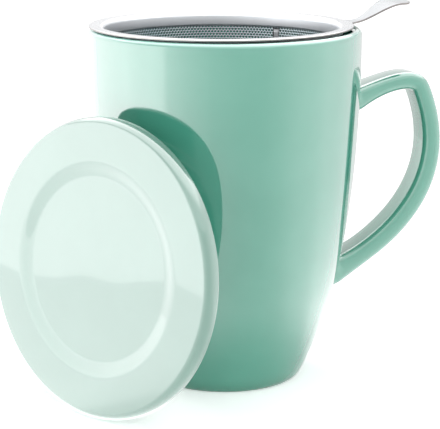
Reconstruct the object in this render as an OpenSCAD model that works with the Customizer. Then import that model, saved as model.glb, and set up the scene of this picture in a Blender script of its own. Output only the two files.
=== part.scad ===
// Lidded tea mug with a lift-out infuser basket.
// The mug stands on the XY plane with its axis on Z. The ear handle points to +X
// and a little to +Y. The lid stands on its edge and leans on the mug's wall.

/* [Mug] */
// Height of the mug from the table to the top of its lip
mug_h = 115; // [110:0.5:125]
// Outer radius of the mug at the lip
mug_rim_r = 44; // [43.5:0.1:48]
// Outer radius of the ring that the mug stands on
foot_r = 23.5; // [20:0.5:26]
// How far the rounded corner above the foot runs out
foot_spread = 2.9; // [1.5:0.1:4]
// Height of the rounded corner above the foot
foot_corner_h = 3; // [2:0.1:5]
// Width of the foot ring's flat face
foot_ring_w = 4.5; // [3:0.1:6]
// Depth of the hollow inside the foot ring
foot_hollow_h = 1.8; // [0.8:0.1:2.5]
// Radius that the lower flare heads for
flare_low_r = 37.9; // [35:0.1:40]
// Height at which the lower flare heads for that radius
flare_low_z = 27.8; // [22:0.1:34]
// Height above which the wall runs nearly straight up
flare_high_z = 59.3; // [50:0.1:70]
// Thickness of the wall at the lip
wall_top = 3.2; // [2.6:0.1:4]
// Thickness of the wall just above the floor
wall_low = 4.2; // [3.2:0.1:5]
// Thickness of the floor
floor_t = 4.5; // [3:0.1:6]
// Height of the rounding on top of the lip
lip_h = 1.8; // [1:0.1:3]
// How far the round between floor and wall starts inside the foot's radius
floor_round_w = 5; // [3:0.5:8]

/* [Handle] */
// Direction of the handle, in degrees from +X towards +Y
handle_bearing = 13; // [0:1:30]
// Depth of the upper root's centre below the lip
handle_top_drop = 25; // [22:0.5:32]
// Height of the lower root's centre above the table
handle_low_z = 32.4; // [26:0.2:40]
// Distance from the lip's radius out to the handle's shoulder
handle_stand = 21.5; // [18:0.5:30]
// Height of the shoulder above the upper root
handle_rise = 3.8; // [0:0.1:5]
// Thickness of the strap where it leaves the upper root
strap_t_top = 5.3; // [5:0.1:7.5]
// Thickness of the strap where it nears the lower root
strap_t_low = 6.7; // [6:0.1:9]
// Width of the strap
strap_w = 13; // [10:0.5:16]
// Radius of the strap's rounded edges
strap_edge_r = 2.4; // [1:0.1:2.4]
// How much the strap widens where it meets the wall
root_flare = 1.8; // [0:0.1:5]

/* [Infuser] */
// How far the flat rim stops short of the lip's outer edge
rim_inset = 1.5; // [0.8:0.1:2]
// Height of the collar, measured from the top of the rim
collar_h = 4.6; // [4:0.1:6]
// Radius of the visible bend between rim and collar
bend_r = 1.6; // [1.2:0.1:1.8]
// Thickness of the rim's sheet
rim_sheet = 0.8; // [0.6:0.1:1]
// Thickness of the perforated sheet
mesh_sheet = 0.6; // [0.4:0.1:0.8]
// Depth of the basket, from the top of the rim to its underside
basket_h = 72; // [55:0.5:74]

/* [Perforations] */
// Number of columns of holes around the basket
hole_columns = 36; // [24:4:40]
// Distance between two holes in a column
hole_pitch = 5.8; // [5:0.1:9]
// Diameter of a hole
hole_d = 3; // [1.5:0.1:3.4]
// Plain edge above and below the perforated area
plain_edge = 2.6; // [2:0.1:6]
// How far the sleeve's plain hoop reaches below the collar
hoop_drop = 0.5; // [0.3:0.1:1.5]
// How far the hoop stops short of the bend between collar and rim
hoop_clear = 0.4; // [0.2:0.1:1]
// Distance between two holes in the basket's floor
floor_hole_pitch = 5.4; // [4.5:0.1:9]
// Bearing of the basket's seam, in degrees from +X towards +Y
seam_bearing = 61; // [0:1:359]
// Width of the seam's lap strip
seam_w = 3.6; // [2:0.1:4.5]
// Diameter of a weld spot on the seam
spot_d = 1.8; // [1:0.1:1.9]
// Height of a weld spot above the strip
spot_h = 0.15; // [0.1:0.05:0.3]

/* [Thumb tab] */
// Direction of the thumb tab, in degrees from the handle's bearing towards +Y
tab_turn = 0; // [-20:1:20]
// Distance from the rim's edge to the tip of the tab
tab_reach = 20.3; // [16:0.1:26]
// Distance from the rim's edge to where the tab starts to climb
tab_flat_l = 1; // [0:0.1:2]
// Length of the tab's flat end behind its tip
tab_pad_l = 4.2; // [2:0.1:6]
// Height that the tab climbs above the rim
tab_rise = 6.3; // [2:0.1:9]
// Width of the tab's neck
tab_neck_w = 5.6; // [5:0.1:9]
// Width of the tab's thumb pad at its widest
tab_pad_w = 16.4; // [10:0.1:18]
// Distance from the pad's widest place to the tip
tab_nose_l = 4.4; // [3:0.1:7]
// Width of the fillet between the tab's neck and the rim
tab_fillet = 2.6; // [1:0.1:4]

/* [Lid] */
// How far the lid stands out past the mug's lip
lid_overhang = 2.4; // [1:0.1:4]
// Height of the lid's edge, from its underside to its flat top
lid_edge_h = 5; // [4:0.1:7]
// Height of the upright band at the lid's edge
lid_band_h = 1.8; // [1:0.1:2.5]
// Width of the rounded shoulder inside that band
lid_shoulder_w = 2.2; // [1:0.1:4]
// Width of the flat border around the recess in the lid's face
border_w = 10.4; // [8:0.1:14]
// Width of the slope around the recess
recess_slope_w = 6; // [3:0.1:7]
// Depth of the recess
recess_depth = 1.1; // [0.8:0.1:2]
// Thickness of the lid under the recess
lid_core_t = 4; // [3:0.1:4.5]
// Depth of the locating ring under the lid
ring_depth = 8.5; // [6:0.1:10]
// Thickness of the locating ring
ring_t = 4; // [3:0.1:6]
// Direction in which the leaning lid faces, in degrees from +X towards +Y
lid_bearing = -131; // [-160:1:-60]
// How far the leaning lid is tipped back from upright
lid_lean = 5.5; // [3:0.5:12]

/* [Fits] */
// Clearance between the lid's locating ring and the collar
ring_clearance = 0.7; // [0.4:0.1:1.2]
// Gap left under the infuser's rim where it rests on the lip
seat_gap = 0.3; // [0.2:0.05:0.5]
// Radial clearance between the basket and the mug's bore at the lip
basket_play = 1.55; // [1.3:0.05:2.5]
// Clearance left at the lip on the side to which the basket has slid, -X
side_gap = 0.35; // [0.3:0.05:1]
// Least width of the infuser's rim that still lies on the lip
rim_seat = 0.5; // [0.3:0.1:1]
// Radial clearance between the basket's lower end and the mug's wall
low_play = 1.6; // [1.5:0.1:4]
// Gap left between the leaning lid and the mug's wall
lean_gap = 0.4; // [0.3:0.1:0.8]
// Clearance of a welded lap between two sheets
weld_fit = 0.05; // [0.02:0.01:0.1]
// Thickness of the glaze joint between the handle and the wall
joint_gap = 0.05; // [0.02:0.01:0.1]

/* [Hidden] */

// Fineness of the curves
profile_steps = 20;
foot_steps = 4;
floor_steps = 5;
slope_steps = 8;
round_fn = 120;
hole_fn = 24;
arc_step = 15;
strap_rings = 44;
edge_steps = 3;
tab_steps = 24;

// Parts of a chord that shape the handle's two curves
pull_top = 0.26;
pull_crest = 0.3;
pull_fall = 0.5;
pull_low = 0.33;
root_angle_top = 26;
root_angle_low = 23.4;
fall_angle = -67;
root_bury = 2.4;
flare_length = 14;
// The strap has its lower thickness before it comes to the lower root
thicken_rate = 1.2;

// ---------- curve helpers ----------
function bezier2(p, t) =
    pow(1 - t, 2) * p[0] + 2 * (1 - t) * t * p[1] + t * t * p[2];
function bezier3(p, t) =
    pow(1 - t, 3) * p[0] + 3 * pow(1 - t, 2) * t * p[1]
    + 3 * (1 - t) * t * t * p[2] + pow(t, 3) * p[3];
function slope3(p, t) =
    pow(1 - t, 2) * (p[1] - p[0]) + 2 * (1 - t) * t * (p[2] - p[1]) + t * t * (p[3] - p[2]);
function unit(v) = v / norm(v);
function heading(a) = [cos(a), sin(a)];
function ease(u) = let (c = min(1, max(0, u))) (1 - cos(180 * c)) / 2;
function arc_points(centre, rx, ry, from, to) =
    let (n = ceil(abs(to - from) / arc_step))
    [for (i = [0:n]) let (a = from + (to - from) * i / n) centre + [rx * cos(a), ry * sin(a)]];

// ---------- mug outline, as pairs of radius and height ----------
shell_curve = [
    [foot_r + foot_spread, foot_corner_h],
    [flare_low_r, flare_low_z],
    [mug_rim_r, flare_high_z],
    [mug_rim_r, mug_h - lip_h]
];
shell_start_dir = unit(shell_curve[1] - shell_curve[0]);
foot_curve = [
    [foot_r, 0],
    [shell_curve[0].x - foot_corner_h * shell_start_dir.x / shell_start_dir.y, 0],
    shell_curve[0]
];
outer_points = concat(
    [for (i = [0:foot_steps - 1]) bezier2(foot_curve, i / foot_steps)],
    [for (i = [0:profile_steps]) bezier3(shell_curve, i / profile_steps)]
);
radius_by_height = [for (p = outer_points) [p[1], p[0]]];
function mug_r(z) = lookup(z, radius_by_height);

// The cavity is the outline moved inward by the wall's thickness
cavity_start = 0.14;
floor_z = foot_hollow_h + floor_t;
floor_flat_r = foot_r - floor_round_w;
function wall_at(t) = wall_low + (wall_top - wall_low) * t;
function cavity_point(t) =
    let (d = unit(slope3(shell_curve, t)))
    bezier3(shell_curve, t) + wall_at(t) * [-d.y, d.x];
cavity_low = cavity_point(cavity_start);
cavity_low_dir = unit(slope3(shell_curve, cavity_start));
cavity_floor_curve = [
    cavity_low,
    [cavity_low.x - (cavity_low.y - floor_z) * cavity_low_dir.x / cavity_low_dir.y, floor_z],
    [floor_flat_r, floor_z]
];
cavity_points = [for (i = [0:profile_steps])
    cavity_point(cavity_start + (1 - cavity_start) * i / profile_steps)];
cavity_by_height = [for (p = cavity_points) [p[1], p[0]]];
function cavity_r(z) = lookup(z, cavity_by_height);
lip_centre = [mug_rim_r - wall_top / 2, mug_h - lip_h];
mug_section = concat(
    outer_points,
    [for (p = arc_points(lip_centre, wall_top / 2, lip_h, arc_step, 180)) p],
    [for (i = [profile_steps - 1:-1:1]) cavity_points[i]],
    [for (i = [0:floor_steps]) bezier2(cavity_floor_curve, i / floor_steps)],
    [[0, floor_z], [0, foot_hollow_h],
     [foot_r - foot_ring_w - foot_hollow_h / 2, foot_hollow_h],
     [foot_r - foot_ring_w, 0]]
);

// ---------- handle path and section ----------
handle_top_z = mug_h - handle_top_drop;
handle_root_top = [mug_r(handle_top_z) - root_bury, handle_top_z];
handle_root_low = [mug_r(handle_low_z) - root_bury, handle_low_z];
handle_shoulder = [mug_rim_r + handle_stand, handle_top_z + handle_rise];
top_chord = norm(handle_shoulder - handle_root_top);
low_chord = norm(handle_root_low - handle_shoulder);
top_curve = [
    handle_root_top,
    handle_root_top + pull_top * top_chord * heading(root_angle_top),
    handle_shoulder - pull_crest * top_chord * heading(fall_angle),
    handle_shoulder
];
low_curve = [
    handle_shoulder,
    handle_shoulder + pull_fall * low_chord * heading(fall_angle),
    handle_root_low + pull_low * low_chord * heading(root_angle_low),
    handle_root_low
];
// The shorter upper curve takes its share of the rings
top_share = 0.36;
function path_point(u) =
    u < top_share ? bezier3(top_curve, u / top_share)
                  : bezier3(low_curve, (u - top_share) / (1 - top_share));
function path_dir(u) =
    unit(u < top_share ? slope3(top_curve, u / top_share)
                       : slope3(low_curve, (u - top_share) / (1 - top_share)));
function root_swell(p) =
    let (d = min(norm(p - handle_root_top), norm(p - handle_root_low)) - root_bury)
    root_flare * pow(max(0, 1 - max(0, d) / flare_length), 2);
function strap_section(t, w) =
    let (r = strap_edge_r, corner = [[1, 1], [-1, 1], [-1, -1], [1, -1]])
    [for (q = [0:3]) for (k = [0:edge_steps])
        let (a = 90 * q + 90 * k / edge_steps)
        [corner[q].x * (t / 2 - r) + r * cos(a), corner[q].y * (w / 2 - r) + r * sin(a)]];
section_count = 4 * (edge_steps + 1);
strap_points = [
    for (i = [0:strap_rings])
        let (
            u = i / strap_rings,
            p = path_point(u),
            d = path_dir(u),
            out = [-d.y, d.x],
            swell = root_swell(p),
            t = strap_t_top + (strap_t_low - strap_t_top) * ease(u * thicken_rate) + swell,
            w = strap_w + swell
        )
        for (s = strap_section(t, w))
            [p.x + out.x * s.x, s.y, p.y + out.y * s.x]
];
strap_faces = concat(
    [[for (k = [0:section_count - 1]) k]],
    [[for (k = [0:section_count - 1]) strap_rings * section_count + section_count - 1 - k]],
    [for (i = [0:strap_rings - 1]) for (k = [0:section_count - 1])
        let (
            a = i * section_count + k,
            b = i * section_count + (k + 1) % section_count
        )
        [a, a + section_count, b + section_count, b]]
);

// ---------- infuser levels and radii ----------
rim_under_z = mug_h + seat_gap;
rim_top_z = rim_under_z + rim_sheet;
collar_low_z = rim_top_z - collar_h;
basket_low_z = rim_top_z - basket_h;
rim_r = mug_rim_r - rim_inset;
bore_r = mug_rim_r - wall_top;
sleeve_top_r = bore_r - basket_play - mesh_sheet;
collar_r = sleeve_top_r - weld_fit - rim_sheet;
infuser_shift = max(0, min(basket_play - side_gap, rim_r - bore_r - rim_seat));
basket_low_r = cavity_r(basket_low_z) - low_play - mesh_sheet;
hoop_top_z = rim_top_z - bend_r - hoop_clear;
hoop_low_z = collar_low_z - hoop_drop;
panel_rise = collar_low_z - basket_low_z;
panel_slant = atan((sleeve_top_r - basket_low_r) / panel_rise);
panel_length = panel_rise / cos(panel_slant);
panel_lap = 0.06;
hole_rows = floor((panel_length - 2 * plain_edge - hole_pitch / 2) / hole_pitch);
seam_column = round(seam_bearing / 360 * hole_columns - 0.5);
rim_edge_r = 0.35 * rim_sheet;
tab_bearing = handle_bearing + tab_turn;

// ---------- lid levels and radii ----------
lid_r = mug_rim_r + lid_overhang;
recess_r = lid_r - lid_shoulder_w - border_w;
ring_r = collar_r - ring_clearance;
lid_edge_round = 0.8;
ring_round = 1;
recess_floor_z = lid_edge_h - recess_depth;
lid_under_z = recess_floor_z - lid_core_t;
// The lid's edge touches the table and its ring comes up to the mug's wall
lid_centre_z = (lid_r - lid_edge_round) * cos(lid_lean)
    + lid_edge_round - lid_edge_round * sin(lid_lean);
lean_contact_z = lid_centre_z + (ring_r - ring_round) * cos(lid_lean)
    - (ring_depth - ring_round) * sin(lid_lean);
lid_centre_out = mug_r(lean_contact_z) + lean_gap + ring_round
    + (ring_r - ring_round) * sin(lid_lean) + (ring_depth - ring_round) * cos(lid_lean);

// ---------- pieces ----------
module mug_outer_solid(grow) {
    rotate_extrude($fn = round_fn)
        polygon(concat(
            [[0, 0]],
            [for (p = outer_points) [p[0] + grow, p[1]]],
            [[0, mug_h - lip_h]]
        ));
}

module mug_body() {
    color([0.57, 0.74, 0.69])
        rotate_extrude($fn = round_fn)
            polygon(mug_section);
}

module mug_handle() {
    color([0.53, 0.72, 0.66])
        difference() {
            rotate([0, 0, handle_bearing])
                polyhedron(points = strap_points, faces = strap_faces, convexity = 6);
            mug_outer_solid(joint_gap);
        }
}

// Half width of the thumb tab at a distance from the rim's edge
tab_wide_at = tab_reach - tab_nose_l;
nose_power = 0.6;
function tab_half_w(s) =
    let (neck = tab_neck_w / 2, pad = tab_pad_w / 2)
    s < tab_fillet ? neck + tab_fillet * pow(1 - max(0, s) / tab_fillet, 2)
    : s < tab_wide_at ? neck + (pad - neck) * ease((s - tab_fillet) / (tab_wide_at - tab_fillet))
    : pad * pow(max(0, 1 - pow((s - tab_wide_at) / tab_nose_l, 2)), nose_power);
function tab_z(s) = tab_rise * ease((s - tab_flat_l) / (tab_reach - tab_pad_l - tab_flat_l));
tab_root = -2 * rim_sheet;
tab_probe = 0.1;
tab_s = [for (i = [0:tab_steps]) tab_root + (tab_reach - tab_root) * i / tab_steps];

module tab_profile() {
    polygon(concat(
        [for (s = tab_s) [rim_r + s, rim_top_z + tab_z(s)]],
        [for (i = [tab_steps:-1:0])
            let (
                s = tab_s[i],
                grade = (tab_z(s + tab_probe) - tab_z(s - tab_probe)) / (2 * tab_probe),
                drop = rim_sheet * sqrt(1 + grade * grade)
            )
            [rim_r + s, rim_top_z + tab_z(s) - drop]]
    ));
}

module tab_outline() {
    outline = concat(
        [for (s = tab_s) if (s < tab_reach) [rim_r + s, tab_half_w(s)]],
        [for (a = [60:-30:-60])
            [rim_r + tab_reach - rim_sheet + rim_sheet * cos(a), rim_sheet * sin(a)]],
        [for (i = [tab_steps - 1:-1:0]) [rim_r + tab_s[i], -tab_half_w(tab_s[i])]]
    );
    polygon(outline);
}

module thumb_tab() {
    intersection() {
        rotate([90, 0, 0])
            translate([0, 0, -tab_pad_w])
                linear_extrude(2 * tab_pad_w)
                    tab_profile();
        translate([0, 0, rim_under_z - tab_rise])
            linear_extrude(3 * tab_rise + rim_sheet)
                tab_outline();
    }
}

module infuser_rim() {
    top_bend = [collar_r + bend_r, rim_top_z - bend_r];
    edge_centre_r = rim_r - rim_edge_r;
    color([0.82, 0.83, 0.84])
        translate([-infuser_shift, 0, 0]) {
            rotate_extrude($fn = round_fn)
                polygon(concat(
                    arc_points([edge_centre_r, rim_top_z - rim_edge_r], rim_edge_r, rim_edge_r, 0, 90),
                    arc_points(top_bend, bend_r, bend_r, 90, 180),
                    [[collar_r, collar_low_z], [collar_r + rim_sheet, collar_low_z]],
                    arc_points(top_bend, bend_r - rim_sheet, bend_r - rim_sheet, 180, 90),
                    [[edge_centre_r, rim_under_z], [rim_r, rim_under_z + rim_edge_r]]
                ));
            rotate([0, 0, tab_bearing])
                thumb_tab();
        }
}

module sleeve_panel(column) {
    half_low = basket_low_r * tan(180 / hole_columns) + panel_lap;
    half_top = sleeve_top_r * tan(180 / hole_columns) + panel_lap;
    stagger = (column % 2) * hole_pitch / 2;
    rotate([0, 0, (column + 0.5) * 360 / hole_columns])
        translate([basket_low_r, 0, basket_low_z])
            rotate([90, 0, 90])
                rotate([panel_slant, 0, 0])
                    linear_extrude(mesh_sheet)
                        difference() {
                            polygon([
                                [-half_low, 0], [half_low, 0],
                                [half_top, panel_length], [-half_top, panel_length]
                            ]);
                            if (column != seam_column)
                                for (row = [0:hole_rows - 1])
                                    translate([0, plain_edge + hole_d / 2 + stagger + row * hole_pitch])
                                        circle(d = hole_d, $fn = hole_fn);
                        }
}

module seam_strip() {
    rotate([0, 0, (seam_column + 0.5) * 360 / hole_columns])
        translate([basket_low_r, 0, basket_low_z])
            rotate([90, 0, 90])
                rotate([panel_slant, 0, 0])
                    translate([0, 0, -mesh_sheet / 2]) {
                        translate([-seam_w / 2, plain_edge, 0])
                            cube([seam_w, panel_length - 2 * plain_edge, mesh_sheet]);
                        for (row = [0:hole_rows])
                            translate([0, plain_edge + hole_d / 2 + row * hole_pitch, -spot_h])
                                cylinder(d = spot_d, h = mesh_sheet, $fn = hole_fn);
                    }
}

module infuser_sleeve() {
    color([0.72, 0.74, 0.75])
        translate([-infuser_shift, 0, 0]) {
            for (column = [0:hole_columns - 1])
                sleeve_panel(column);
            seam_strip();
            rotate_extrude($fn = round_fn)
                polygon([
                    [sleeve_top_r, hoop_low_z], [sleeve_top_r + mesh_sheet, hoop_low_z],
                    [sleeve_top_r + mesh_sheet, hoop_top_z], [sleeve_top_r, hoop_top_z]
                ]);
        }
}

module infuser_floor() {
    disc_r = basket_low_r - weld_fit;
    turn_h = plain_edge;
    reach = ceil(disc_r / floor_hole_pitch);
    color([0.72, 0.74, 0.75])
        translate([-infuser_shift, 0, basket_low_z]) {
            linear_extrude(mesh_sheet)
                difference() {
                    circle(r = disc_r, $fn = round_fn);
                    for (i = [-reach:reach])
                        for (j = [-reach:reach])
                            let (
                                x = (i + (abs(j) % 2) / 2) * floor_hole_pitch,
                                y = j * floor_hole_pitch * sqrt(3) / 2
                            )
                            if (norm([x, y]) < disc_r - plain_edge - hole_d / 2)
                                translate([x, y])
                                    circle(d = hole_d, $fn = hole_fn);
                }
            rotate_extrude($fn = round_fn)
                polygon([
                    [disc_r - mesh_sheet, 0], [disc_r, 0],
                    [disc_r, turn_h], [disc_r - mesh_sheet, turn_h]
                ]);
        }
}

module lid_shape() {
    rotate_extrude($fn = round_fn)
        polygon(concat(
            [[0, recess_floor_z]],
            [for (i = [0:slope_steps])
                [recess_r - recess_slope_w * (1 - i / slope_steps),
                 recess_floor_z + recess_depth * ease(i / slope_steps)]],
            arc_points([lid_r - lid_shoulder_w, lid_band_h],
                lid_shoulder_w, lid_edge_h - lid_band_h, 90, 0),
            arc_points([lid_r - lid_edge_round, lid_edge_round],
                lid_edge_round, lid_edge_round, 0, -90),
            [[ring_r + ring_round, 0], [ring_r, -ring_round]],
            arc_points([ring_r - ring_round, ring_round - ring_depth],
                ring_round, ring_round, 0, -90),
            arc_points([ring_r - ring_t + ring_round, ring_round - ring_depth],
                ring_round, ring_round, -90, -180),
            [[ring_r - ring_t, lid_under_z - ring_round],
             [ring_r - ring_t - ring_round, lid_under_z], [0, lid_under_z]]
        ));
}

module lid() {
    color([0.6, 0.77, 0.72])
        rotate([0, 0, lid_bearing])
            translate([lid_centre_out, 0, lid_centre_z])
                rotate([0, 90 - lid_lean, 0])
                    lid_shape();
}

mug_body();
mug_handle();
infuser_rim();
infuser_sleeve();
infuser_floor();
lid();
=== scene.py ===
"""Looks of a tall tea mug with a lift-out perforated basket and a loose round lid.

Lengths are metres. The mug stands on Z = 0 with its axis on Z, as in the frame.
"""

import logging
import math
from collections.abc import Sequence
from dataclasses import dataclass, replace
from enum import Enum

import bmesh
import bpy
from mathutils import Euler, Matrix, Vector


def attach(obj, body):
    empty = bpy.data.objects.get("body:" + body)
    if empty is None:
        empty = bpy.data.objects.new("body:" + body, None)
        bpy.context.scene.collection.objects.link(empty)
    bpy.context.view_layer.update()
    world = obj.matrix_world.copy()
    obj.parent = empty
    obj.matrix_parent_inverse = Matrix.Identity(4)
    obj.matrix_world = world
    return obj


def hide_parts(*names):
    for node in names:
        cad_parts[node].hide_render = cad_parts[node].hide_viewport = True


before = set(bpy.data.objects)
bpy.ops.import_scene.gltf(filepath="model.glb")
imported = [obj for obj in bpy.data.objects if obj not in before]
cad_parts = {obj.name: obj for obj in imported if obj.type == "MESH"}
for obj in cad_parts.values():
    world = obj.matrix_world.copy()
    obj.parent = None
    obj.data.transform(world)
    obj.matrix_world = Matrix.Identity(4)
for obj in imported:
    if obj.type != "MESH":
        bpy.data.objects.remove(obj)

LOG = logging.getLogger("tea_mug")
MM = 0.001
SAME_SPOT = 1e-6
SEGMENTS = 224
UP = Vector((0, 0, 1))
BODY_GREEN = (0.050, 0.255, 0.182, 1.0)

Point = tuple[float, float]
Spot = tuple[float, float, float]
Colour = tuple[float, float, float, float]
BMesh = bmesh.types.BMesh
Material = bpy.types.Material
Socket = bpy.types.NodeSocket
Thing = bpy.types.Object
Tree = bpy.types.NodeTree


class Part(Enum):
    """The frame's nodes, each with the body that carries it and its material slot."""

    MUG_BODY = ("mug_body", "mug", "green_glaze")
    MUG_HANDLE = ("mug_handle", "mug", "green_glaze_handle")
    RIM = ("infuser_rim", "infuser", "polished_steel")
    SLEEVE = ("infuser_sleeve", "infuser", "perforated_steel")
    BASKET_FLOOR = ("infuser_floor", "infuser", "perforated_steel_floor")
    LID = ("lid", "lid", "green_glaze_lid")


class Grain(Enum):
    """How the fine lines of a worked steel surface run."""

    TURNED = "turned"
    ROLLED = "rolled"


# ---- curves


def bezier(points: Sequence[Point], t: float) -> Vector:
    """Finds a point on a Bezier curve by repeated halving of its control line.

    Args:
        points: The control points.
        t: How far along the curve, from 0 to 1.

    Returns:
        The point on the curve.
    """
    rest = [Vector(p) for p in points]
    while len(rest) > 1:
        rest = [a.lerp(b, t) for a, b in zip(rest, rest[1:])]
    return rest[0]


def bezier_heading(points: Sequence[Point], t: float) -> Vector:
    """Finds the unit direction of a Bezier curve.

    Args:
        points: The control points.
        t: How far along the curve, from 0 to 1.

    Returns:
        The unit tangent.
    """
    steps = [Vector(b) - Vector(a) for a, b in zip(points, points[1:])]
    return bezier(steps, t).normalized()


def arc(centre: Point, radii: Point, start: float, end: float, steps: int) -> list[Vector]:
    """Lists points on an arc of an ellipse, both ends included.

    Args:
        centre: The ellipse's centre.
        radii: Its half axes.
        start: Angle of the first point, in degrees.
        end: Angle of the last point, in degrees.
        steps: Number of chords.

    Returns:
        The points.
    """
    (x, y), (rx, ry) = centre, radii
    turns = [math.radians(start + (end - start) * i / steps) for i in range(steps + 1)]
    return [Vector((x + rx * math.cos(a), y + ry * math.sin(a))) for a in turns]


def ease(u: float) -> float:
    """Eases from 0 to 1 with flat ends."""
    return (1 - math.cos(math.pi * min(1.0, max(0.0, u)))) / 2


# ---- mesh helpers


def spun(*profiles: Sequence[Vector]) -> BMesh:
    """Turns outlines of (radius, height) points all the way round the Z axis.

    Args:
        profiles: Outlines, each in order, with its ends on the axis or joined.

    Returns:
        The turned mesh.
    """
    bm = bmesh.new()
    for profile in profiles:
        verts = [bm.verts.new((r, 0, z)) for r, z in profile]
        edges = [bm.edges.new(pair) for pair in zip(verts, verts[1:])]
        bmesh.ops.spin(bm, geom=verts + edges, cent=(0, 0, 0), axis=UP, dvec=(0, 0, 0),
                       angle=2 * math.pi, steps=SEGMENTS, use_merge=True, use_duplicate=False)
    bmesh.ops.remove_doubles(bm, verts=bm.verts[:], dist=SAME_SPOT)
    bmesh.ops.recalc_face_normals(bm, faces=bm.faces[:])
    return bm


def place(bm: BMesh, matrix: Matrix) -> None:
    """Moves a whole mesh by a matrix."""
    bmesh.ops.transform(bm, matrix=matrix, space=Matrix.Identity(4), verts=bm.verts[:])


def turned(degrees: float, axis: str = "Z") -> Matrix:
    """Gives the matrix that turns about an axis."""
    return Matrix.Rotation(math.radians(degrees), 4, axis)


def face_towards(bm: BMesh, way: Vector | None = None) -> None:
    """Turns all faces of an open sheet to one side.

    Args:
        bm: The sheet.
        way: The direction its first face is to look in, or None for away from the Z axis.
    """
    bmesh.ops.recalc_face_normals(bm, faces=bm.faces[:])
    first = bm.faces[0]
    if way is None:
        way = Vector((*first.calc_center_median().xy, 0))
    if first.normal.dot(way) < 0:
        bmesh.ops.reverse_faces(bm, faces=bm.faces[:])


def thicken(piece: Thing, sheet: float, offset: float = -1.0, even: bool = False) -> None:
    """Gives an open surface the thickness of its sheet.

    Args:
        piece: The surface.
        sheet: The sheet's thickness.
        offset: Which side it grows to, from -1 for inward to 1 for outward.
        even: Whether the thickness is kept at sharp turns.
    """
    wall = piece.modifiers.new("sheet", "SOLIDIFY")
    wall.thickness = sheet
    wall.offset = offset
    wall.use_even_offset = even


def make_object(bm: BMesh, name: str, material: Material) -> Thing:
    """Makes an object at the origin from a mesh, which is freed here."""
    mesh = bpy.data.meshes.new(name)
    bm.to_mesh(mesh)
    bm.free()
    mesh.materials.append(material)
    made = bpy.data.objects.new(name, mesh)
    bpy.context.scene.collection.objects.link(made)
    return made


@dataclass(frozen=True)
class Piece:
    """What a finished mesh is called, what it stands for and how it is dressed."""

    name: str
    part: Part
    material: Material
    flat_over: float = 40.0

    def finish(self, bm: BMesh) -> Thing:
        """Makes the object at the origin, dresses it and puts it on its body.

        Args:
            bm: The finished mesh, which is freed here.

        Returns:
            The object.
        """
        piece = make_object(bm, self.name, self.material)
        piece.data.shade_smooth()
        piece.data.set_sharp_from_angle(angle=math.radians(self.flat_over))
        node, body, slot = self.part.value
        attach(piece, body)
        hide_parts(node)
        LOG.info("%s: %d faces on %s", self.name, len(piece.data.polygons), body)
        return piece


# ---- shader helpers


class Nodes:
    """Adds and links nodes in a shader tree."""

    def __init__(self, tree: Tree) -> None:
        """Empties the tree."""
        self.tree = tree
        tree.nodes.clear()

    def add(self, kind: str, inputs: dict | None = None, **settings: object) -> bpy.types.Node:
        """Adds one node.

        Args:
            kind: The node's type.
            inputs: Values or output sockets for its inputs.
            settings: Attributes of the node.

        Returns:
            The node.
        """
        node = self.tree.nodes.new(kind)
        for key, value in settings.items():
            setattr(node, key, value)
        for key, value in (inputs or {}).items():
            if isinstance(value, Socket):
                self.tree.links.new(value, node.inputs[key])
            else:
                node.inputs[key].default_value = value
        return node

    def math(self, operation: str, *values: object) -> Socket:
        """Adds a Math node and gives its result."""
        return self.add("ShaderNodeMath", dict(enumerate(values)), operation=operation).outputs[0]

    def times(self, first: object, second: object) -> Socket:
        """Multiplies two values."""
        return self.math("MULTIPLY", first, second)

    def plus(self, first: object, second: object) -> Socket:
        """Adds two values."""
        return self.math("ADD", first, second)

    def remap(self, value: object, low: float, high: float, to_low: float = 0.0,
              to_high: float = 1.0) -> Socket:
        """Adds a clamped, smooth Map Range node and gives its result."""
        inputs = {0: value, 1: low, 2: high, 3: to_low, 4: to_high}
        node = self.add("ShaderNodeMapRange", inputs, interpolation_type="SMOOTHSTEP")
        return node.outputs[0]

    def mix(self, share: object, first: object, second: object) -> Socket:
        """Mixes two colours."""
        node = self.add("ShaderNodeMix", {0: share, 6: first, 7: second}, data_type="RGBA")
        return node.outputs[2]

    def blend(self, share: object, first: object, second: object) -> Socket:
        """Mixes two numbers."""
        return self.add("ShaderNodeMix", {0: share, 2: first, 3: second}).outputs[0]

    def noise(self, where: Socket, scale: object, **inputs: float) -> Socket:
        """Adds a Noise node and gives its grey."""
        inputs = {"Vector": where, "Scale": scale, **inputs}
        return self.add("ShaderNodeTexNoise", inputs).outputs["Fac"]

    def here(self, kind: str = "Object") -> Socket:
        """Gives the place that is shaded."""
        return self.add("ShaderNodeTexCoord").outputs[kind]

    def axes(self, vector: Socket) -> list[Socket]:
        """Splits a vector into its X, Y and Z."""
        return list(self.add("ShaderNodeSeparateXYZ", {0: vector}).outputs)

    def reach(self, x: Socket, y: Socket) -> Socket:
        """Gives the distance from the Z axis."""
        return self.math("SQRT", self.plus(self.times(x, x), self.times(y, y)))

    def bump(self, height: Socket, distance: float) -> Socket:
        """Gives the normal of a surface whose height varies."""
        inputs = {"Height": height, "Strength": 1.0, "Distance": distance}
        return self.add("ShaderNodeBump", inputs).outputs[0]


def open_material(name: str) -> tuple[Material, Nodes]:
    """Starts a material with an empty shader tree."""
    material = bpy.data.materials.new(name)
    material.use_nodes = True
    return material, Nodes(material.node_tree)


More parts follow.
